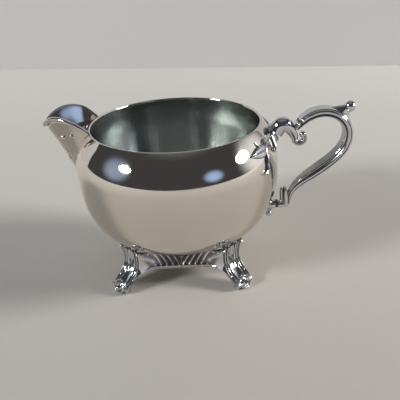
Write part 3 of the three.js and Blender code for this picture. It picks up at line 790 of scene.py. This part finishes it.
def spur_sheet(foot, along, outward):
    """Oval rings from the strap to the ball: the crest side narrows evenly, the back side and the
    width by squares."""
    t = np.linspace(0, 1, 40)[:, None]
    crest = knob_neck + spur_crest * (1 - t)
    back = knob_neck + spur_back * (1 - t)**2
    width = knob_neck + (spur_half_width - knob_neck) * (1 - t)**2
    turn = np.linspace(0, 2 * np.pi, 40, endpoint=False)
    centre = foot + outward * knob_reach * t + along * (back - crest) / 2
    rings = centre[:, None] + along * ((back + crest) / 2 * np.cos(turn))[..., None]
    return capped(rings + sideways * (width * np.sin(turn))[..., None])


knob_foot, knob_along, knob_out = knob_frame(strap_middle)
spur = spur_sheet(knob_foot, knob_along, knob_out)
finial_arc = np.radians(np.linspace(-58, 62, 14))
finial_ball = knob_ball * np.stack([np.cos(finial_arc), np.sin(finial_arc)], -1)
finial_profile = np.concatenate([finial_neck, finial_ball, finial_tip]) + (0, knob_reach)
finial = turned(finial_profile, knob_foot, knob_out)
build("thumb_spur", [(spur, 0), (finial, 0)], casting, "cast_silver", "handle_thumb_knob")


# Lower bracket: a short cast bar with a bead that joins the strap's foot to the bowl's side.
# A leaf calyx opens upwards from it, and a small ball drop hangs under it.
strap_foot_x = belly_radius + strap_foot_reach
stub_sink = 0.7
stub_overrun = 0.9
stub_half_thick = 2.6
stub_half_wide = 3.6
stub_bead_place = 0.32
stub_groove_place = 0.5
stub_bead_width = 0.07
stub_end_round = 0.07
stub_share = np.linspace(0, 1, 60)[:, None]
stub_start = np.array([on_bowl(0, lower_joint_height, -stub_sink)[0], 0, lower_joint_height])
stub_stop = np.array([strap_foot_x + stub_overrun, 0, lower_joint_height])
stub_path = stub_start + (stub_stop - stub_start) * stub_share
stub_groove = ridge(stub_share, stub_groove_place, stub_bead_width)
stub_relief = 0.45 * ridge(stub_share, stub_bead_place, stub_bead_width) - 0.35 * stub_groove
stub_end = np.clip((stub_share - 1) / stub_end_round + 1, 0, 1)
stub_round = np.sqrt(np.clip(1 - stub_end**2, 0.02, 1))
stub_thick = (stub_half_thick - 0.7 * stub_share + stub_relief) * stub_round
stub_wide = (stub_half_wide - 0.9 * stub_share + stub_relief) * stub_round
stub = bar(stub_path, sideways, stub_thick, stub_wide, sides=40)
build("handle_stub", [(stub, capped_mark(stub_groove))], casting, "cast_silver", "handle_lower_bracket")

petal_root = np.array([strap_foot_x, 0, lower_joint_height + 0.6])
petal_sides = 24


def petal(bearing, offset, length, spread):
    """One leaf of the calyx: a curled tongue that starts an offset from the stem, swells by a sine
    and leans out by the square of its length."""
    t = np.linspace(0, 1, 40)
    turn = np.radians(bearing)
    aside = np.array([np.cos(turn), np.sin(turn), 0])
    path = petal_root + np.outer(t * length, upright) + np.outer(offset + spread * t**2, aside)
    half = (0.3 + 0.75 * np.sin(np.pi * np.minimum(1, 0.3 + 0.62 * t)))[:, None]
    return bar(path, np.cross(aside, upright), half, 1.5 * half, sides=petal_sides)


petal_turn = np.linspace(0, 2 * np.pi, petal_sides, endpoint=False)
thin_side = ease((np.abs(np.cos(petal_turn)) - 0.6) / 0.3)
broad_side = ease((np.abs(np.sin(petal_turn)) - 0.6) / 0.3)
calyx = [
    (petal(180, 3.0, 8.6, 0.5), thin_side),
    (petal(180, 1.0, 8.2, 0.4), thin_side),
    (petal(115, 2.6, 7.6, 0.6), broad_side),
    (petal(-115, 2.6, 7.6, 0.6), broad_side),
]
build("calyx_leaves", calyx, casting, "cast_silver", "handle_calyx")

drop_x = on_bowl(0, lower_joint_height, 0)[0] + 2.4
drop_radius = 1.65
drop_middle = -5.6
drop_arc = np.radians(np.linspace(-90, 60, 18))
drop_ball = drop_radius * np.stack([np.cos(drop_arc), np.sin(drop_arc)], -1) + (0, drop_middle)
drop_neck = [(0.75, -3.9), (1.35, -3.7), (1.5, -3.4), (1.3, -3.1), (0.8, -2.8), (0.75, -1.5), (0.0, -1.5)]
drop_profile = np.concatenate([drop_ball, drop_neck])
drop = turned(drop_profile, (drop_x, 0, lower_joint_height), upright)
build("pendant_drop", [(drop, 0)], casting, "cast_silver", "handle_drop")


# Leaf sprays: cast branches soldered flat to the shoulder on both sides of the upper joint. Each has
# a ribbon, a hooked leaf, a loop, a broad leaf, a twig and a hanging stem. The routes give degrees
# from the handle and heights above the joint.
spray_lift = 1.1
ribbon_route = [(9, 0.6), (14, 2.7), (24, 2.7), (28.5, 1), (30, -2.2), (31.5, -5), (31.8, -7)]
hook_route = [(30.8, -4.2), (31.6, -6.8), (33.4, -8.8), (36, -9.2), (38.5, -8.2)]
loop_route = [(13, 2.8), (14, 0), (15.5, -2.6), (18.5, -3.8)]
leaf_route = [(28, 0.2), (36, 0.8), (43.5, 0.7)]
twig_route = [(31, 1.5), (34, 3.0), (36, 4.9)]
stem_route = [(29, -1.5), (26, -3.5), (24, -7), (20.5, -12.4), (18.8, -18.4), (19.2, -23.7), (20.5, -27)]


def stem_widths(widest, steps):
    """Half widths of a stem, which narrows evenly to half."""
    return widest * np.linspace(1, 0.5, steps)


def leaf_widths(widest, steps):
    """Half widths of a leaf, which swells early by a sine and runs out to a point."""
    return widest * (0.1 + np.sin(np.pi * np.linspace(0.25, 1, steps)))


def spray_bar(hand, route, widths, crease):
    """Leaf or stem on the bowl's face: a route with half widths along it, a rounded back, and a crease
    pressed along its middle with veins that run forward from it. Its edges and underside are painted dark
    as shade."""
    t = np.linspace(0, 1, len(widths))[:, None]
    places = smooth_route(route, t[:, 0])
    angle, height = hand * places[:, 0], upper_joint_height + places[:, 1]
    middle = on_bowl(angle, height, 0)
    out = (on_bowl(angle, height, 1) - middle)[:, None]
    across = unit(np.cross(np.gradient(middle, axis=0), out[:, 0]))[:, None]
    w = np.linspace(-1, 1, 25)
    arch = np.sqrt(np.clip(1 - w**2, 0, 1))
    barb = 0.5 - 0.5 * np.cos(14 * np.pi * (t - 0.16 * np.abs(w)))
    vein = crease * (ridge(w, 0, 0.16) + 0.35 * barb * np.abs(w))
    thickness = spray_lift * np.minimum(1, 0.35 + widths / spray_lift)[:, None]
    lift = 0.15 + thickness * arch * (1 - vein)
    reach = widths[:, None] * w
    top = middle[:, None] + across * reach[..., None] + out * lift[..., None]
    under = middle[:, None] - across * reach[..., None] - 0.5 * out
    # Painted shade: the edges darken, and the underside is fully dark, so that the sides dropping to the
    # bowl read as shade.
    border_shade = np.clip(widths / 2.2, 0, 0.75)[:, None] * ease((np.abs(w) - 0.75) / 0.2)
    mark = np.concatenate([np.clip(1.6 * vein + border_shade, 0, 1), 1 + 0 * vein], axis=1)
    return capped(np.concatenate([top, under], axis=1)), capped_mark(mark)


def spray(hand):
    """One branch: ribbon, hooked leaf, loop, broad leaf, twig and hanging stem."""
    return [
        spray_bar(hand, ribbon_route, stem_widths(1.25, 120), 0.0),
        spray_bar(hand, hook_route, leaf_widths(1.2, 50), 0.35),
        spray_bar(hand, loop_route, stem_widths(0.8, 50), 0.0),
        spray_bar(hand, leaf_route, leaf_widths(2.7, 70), 0.45),
        spray_bar(hand, twig_route, stem_widths(0.45, 30), 0.0),
        spray_bar(hand, stem_route, stem_widths(0.7, 110), 0.0),
    ]


build("leaf_spray_near", spray(-1), casting, "cast_silver", "leaf_branch_near")
build("leaf_spray_far", spray(1), casting, "cast_silver", "leaf_branch_far")


# Corner feet: four castings that meet at the middle of each side and carry the bowl on their
# crowns. Each has a ribbed and channelled leg, a rosette on its toe and two fluted half-aprons.
foot_quarter = 45.0
crown_height = 23.0
crown_radius = np.interp(crown_height, face_profile[:, 1], face_profile[:, 0]) + 1.8
crown_swell = 1.5
bowl_overlap = 0.5
waist_height = 12.5
pad_swell = 0.6
foot_wall = 2.6
toe_reach = 8.0
toe_radius = crown_radius + toe_reach
leg_angle = np.degrees(5.0 / toe_radius)
leg_splay = 3.0
ear_height = 1.4
ear_angle = 2.0
channel_depth = 1.3
channel_half = 0.55
groove_depth = 0.8
vein_depth = 0.2
vein_pitch = 0.25
boss_middle = 17.3
boss_half_height = 4.6
boss_half_width = 0.34
web_angle = 9.0
apron_low = 9.7
apron_high = 16.0
wing_end = foot_quarter - 0.35
flute_pitch = 3.3
flute_slant = 0.65
flute_depth = 0.75
hem_bead = 0.45
edge_round = 0.5
edge_width = 0.6


def leg_radius(height):
    """Radius of a leg's face on the diagonal: a smooth route from the pad over the toe, the instep,
    the waist and the skirt to the crown, averaged with bell-shaped weights."""
    instep = [(3.2, 6.5), (-1.2, waist_height), (-1.2, 17.0)]
    route = [(5.9, 0), (toe_reach, 2.6), *instep, (0.0, crown_height)]
    curve = smooth_route(route, np.linspace(0, 1, 400))
    level = np.linspace(0, crown_height, 116)
    reach = np.interp(level, np.maximum.accumulate(curve[:, 1]), curve[:, 0])
    spread = 16
    bell = ridge(np.linspace(-1, 1, 2 * spread + 1), 0, 0.5)
    eased = np.convolve(np.pad(reach, spread, mode="edge"), bell / bell.sum(), mode="valid")
    return crown_radius + np.interp(height, level, eased)


def foot_outline(angle):
    """Lower and upper edge at an angle off the diagonal: the lower edge leaves the pad in a fillet,
    and the upper edge carries an ear beside the leg and falls by a sine to the mid-side."""
    size = np.abs(angle)
    past = np.maximum(0, size - leg_angle)
    low = apron_low * (1 - np.exp(-np.maximum(0, size - 0.92 * leg_angle) / 1.5))
    beyond = np.clip((past - leg_splay) / (foot_quarter - leg_angle - leg_splay), 0, 1)
    ear = ear_height * ridge(size, leg_angle, ear_angle)
    return low, crown_height + ear + (apron_high - crown_height) * np.sin(np.pi / 2 * beyond)


def leg_relief(across, height):
    """Relief of the leg's face for a place across it, 0 on the diagonal to 1 at its edge: a channel
    with fine veins, two grooves on each side, and an oval boss in the upper channel. Returns relief
    and recess."""
    channel = np.cos(np.pi / 2 * np.minimum(1, across / channel_half)) * ease(height / waist_height)
    grooves = (ridge(across, 0.65, 0.115) + ridge(across, 0.95, 0.1)) * ease((height - 3.0) / 3.0)
    oval = np.hypot(across / boss_half_width, (height - boss_middle) / boss_half_height)
    boss = np.sqrt(np.clip(1 - oval**2, 0, 1))
    veined = ease((height - 7.0) / 4.0) * ease((0.6 - across) / 0.1)
    veins = np.cos(2 * np.pi * across / vein_pitch) * veined
    relief = boss + vein_depth * veins - channel_depth * channel - groove_depth * grooves
    mark = grooves + 0.7 * ridge(oval, 1.16, 0.2) - 0.75 * np.minimum(0, veins)
    return relief, np.clip(mark, 0, 1)


def apron_relief(along, height, low):
    """Relief of an apron for a place along it from the mid-side: flutes that meet in sharp ridges and
    slant towards the mid-side as they come down, and a bead along the lower edge. The flutes' hollows and
    a line over the bead are marked dark, and a wash of painted shade over the middle of the side fades
    out towards the leg. Returns relief and recess."""
    share = (along - flute_slant * (height - low)) / flute_pitch
    valley = 1 - (2 * (share - np.floor(share)) - 1)**2
    bead = ridge(height - low, 0.8, 0.38)
    above = ease((height - low - 1.2) / 0.5)
    relief = hem_bead * bead - flute_depth * valley * above
    # Painted shade: a dark wash over the middle of the side that fades out towards the leg.
    apron_shade = 0.25 * (1 - ease((along - 9.0) / 6.0))
    mark = (apron_shade + 0.7 * valley**0.6) * above + 0.5 * ridge(height - low, 1.5, 0.3)
    return relief, np.clip(mark, 0, 1)


def foot_face(angle, height):
    """Radius and bearing of the plain face at an angle off the diagonal: the leg is flat across the
    diagonal, the wings follow the sides of a square, and the crown is splayed sideways."""
    size = np.abs(angle)
    wing = ease((size - leg_angle) / web_angle)
    leg_plan = 1 / np.cos(np.radians(angle))
    wing_plan = np.cos(np.radians(foot_quarter)) / np.cos(np.radians(foot_quarter - size))
    radius = leg_radius(np.minimum(height, crown_height)) * (leg_plan + (wing_plan - leg_plan) * wing)
    splay = np.minimum(size / leg_angle, (wing_end - size) / (wing_end - leg_angle))
    return radius, angle + np.sign(angle) * leg_splay * height / crown_height * splay


def foot_sheet(turn):
    """Casting as a patch over angle and height, its outer face shaped by the relief and its inner
    face plain. Both faces end just inside the bowl."""
    leg_half = np.linspace(0, leg_angle, 56)[:-1]
    wing_half = leg_angle + (wing_end - leg_angle) * np.linspace(0, 1, 110)**1.25
    half = np.concatenate([leg_half, wing_half])
    angle = np.concatenate([-half[:0:-1], half])[:, None]
    size = np.abs(angle)
    low, high = foot_outline(angle)
    share_up = np.linspace(0, 1, 80)[None, :]
    height = low + (high - low) * share_up
    face, bearing = foot_face(angle, height)
    on_leg, leg_mark = leg_relief(size / leg_angle, height)
    leg_share = 1 - ease((size / leg_angle - 1.02) / 0.1)
    side_radius = crown_radius * np.cos(np.radians(foot_quarter))
    along = side_radius * np.tan(np.radians(foot_quarter - size))
    on_apron, apron_mark = apron_relief(along, height, low)
    apron_share = ease((size - leg_angle - 4.4 + 5.0 * share_up) / 3.0)
    from_edge = np.clip(np.minimum(height - low, high - height) / edge_width, 0, 1)
    rounding = edge_round * (1 - np.sqrt(np.clip(1 - (1 - from_edge)**2, 0, 1)))
    outer = face + leg_share * on_leg + apron_share * on_apron - rounding
    # Painted shade: a dark line just under the crown's upper edge for the gap under the bowl, and one
    # just beside each side of the leg.
    crown_shade = ridge(high - height, 1.4, 0.45) * (1 - ease((size - leg_angle - 8) / 6))
    side_shade = ridge(size / leg_angle, 1.14, 0.09)
    mark = leg_share * leg_mark + apron_share * apron_mark + 0.8 * side_shade + 0.8 * crown_shade
    pad = pad_swell * np.clip(1 - height / waist_height, 0, 1)**2
    crown = crown_swell * np.clip(height / crown_height, 0, 1)**4
    inner = face - foot_wall - pad - crown
    bearing = np.radians(turn + bearing)
    under_bowl = face_profile[:face_steps]

    def placed(radius):
        ceiling = np.interp(radius, under_bowl[:, 0], under_bowl[:, 1]) + bowl_overlap
        level = np.minimum(height, ceiling)
        return np.stack([radius * np.cos(bearing), radius * np.sin(bearing), level], -1)

    rings = np.concatenate([placed(outer), placed(inner)[:, ::-1]], axis=1)
    marks = np.concatenate([np.clip(mark, 0, 1), 0.5 + 0 * mark], axis=1)
    return capped(rings), capped_mark(marks)


toe_tilt = np.radians(20)
rosette_sink = 0.8
rosette_height = 3.6
rosette_corners = [
    (0, 0.2), (0.6, 0.25), (0.95, 0.6), (1.45, 1.0), (1.9, 0.6), (2.1, 0.1), (2.7, 0.05), (2.9, 0.5),
    (3.15, 0.7), (3.4, 0.35), (3.45, -0.9), (0, -0.9),
]
point_back = 2.0
point_half = 2.8
point_height = 3.0
point_ahead = 1.3
point_aside = 3.0
point_rise = 0.9
point_tip = 0.3
point_girth = 1.7
ankle_height = 6.5
ankle_half = 4.9
ankle_bead = 0.8
shoulder_pearls = 4
shoulder_start = 1.5
shoulder_pitch = 2.3
shoulder_drop = 3.0
shoulder_climb = 0.25
shoulder_shrink = 0.12


def rosette(centre, axis):
    """Turned eye in two rings, dark in the eye and between the rings."""
    profile = smooth_route(rosette_corners, np.linspace(0, 1, 110))
    profile[:, 0] = np.maximum(profile[:, 0], 0)
    radius = profile[:, :1]
    front = profile[:, 1:] > -0.2
    mark = front * np.clip(ease((0.95 - radius) / 0.3) + ridge(radius, 2.45, 0.35), 0, 1)
    return turned(profile, centre, axis), mark


def shoulder_pearl(turn, hand, step):
    """Ball on the shoulder beside a leg: each step further along is smaller."""
    angle = hand * (leg_angle + shoulder_start + shoulder_pitch * step)
    height = foot_outline(angle)[1] - shoulder_drop + shoulder_climb * step
    reach, bearing = foot_face(angle, height)
    bearing = np.radians(turn + bearing)
    middle = np.array([reach * np.cos(bearing), reach * np.sin(bearing), height])
    return turned((1.0 - shoulder_shrink * step) * ball_outline, middle, upright, 20), 0


def toe_trim(turn):
    """Rosette on the toe, the flared point on each side of it, a bead on each ankle, and pearls that
    shrink along each shoulder. Nothing reaches below the table."""
    bearing = np.radians(turn)
    ahead = np.array([np.cos(bearing), np.sin(bearing), 0])
    aside = np.array([-np.sin(bearing), np.cos(bearing), 0])
    axis = np.cos(toe_tilt) * ahead + np.sin(toe_tilt) * upright
    trim = [rosette((toe_radius - rosette_sink) * ahead + rosette_height * upright, axis)]
    t = np.linspace(0, 1, 30)
    for hand in (-1, 1):
        root = (toe_radius - point_back) * ahead + point_height * upright + hand * point_half * aside
        flare = point_ahead * ahead + hand * point_aside * aside
        point = root + np.outer(t, flare) + np.outer(point_rise * t**2, upright)
        girth = (point_tip + point_girth * (1 - t))[:, None]
        trim.append((bar(point, upright, girth, girth, sides=16), 0))
        ankle = (leg_radius(ankle_height) - 1.2) * ahead + hand * ankle_half * aside
        ankle = ankle + ankle_height * upright
        trim.append((turned(ankle_bead * ball_outline, ankle, upright, 20), 0))
        trim.extend(shoulder_pearl(turn, hand, step) for step in range(shoulder_pearls))
    return [(np.maximum(points, (-np.inf, -np.inf, 0.0)), mark) for points, mark in trim]


foot_names = ["foot_back_handle", "foot_back_spout", "foot_front_spout", "foot_front_handle"]
for quarter, foot_name in enumerate(foot_names):
    foot_turn = foot_quarter * (2 * quarter + 1)
    foot = [foot_sheet(foot_turn), *toe_trim(foot_turn)]
    build(foot_name + "_casting", foot, casting, "cast_silver", foot_name)
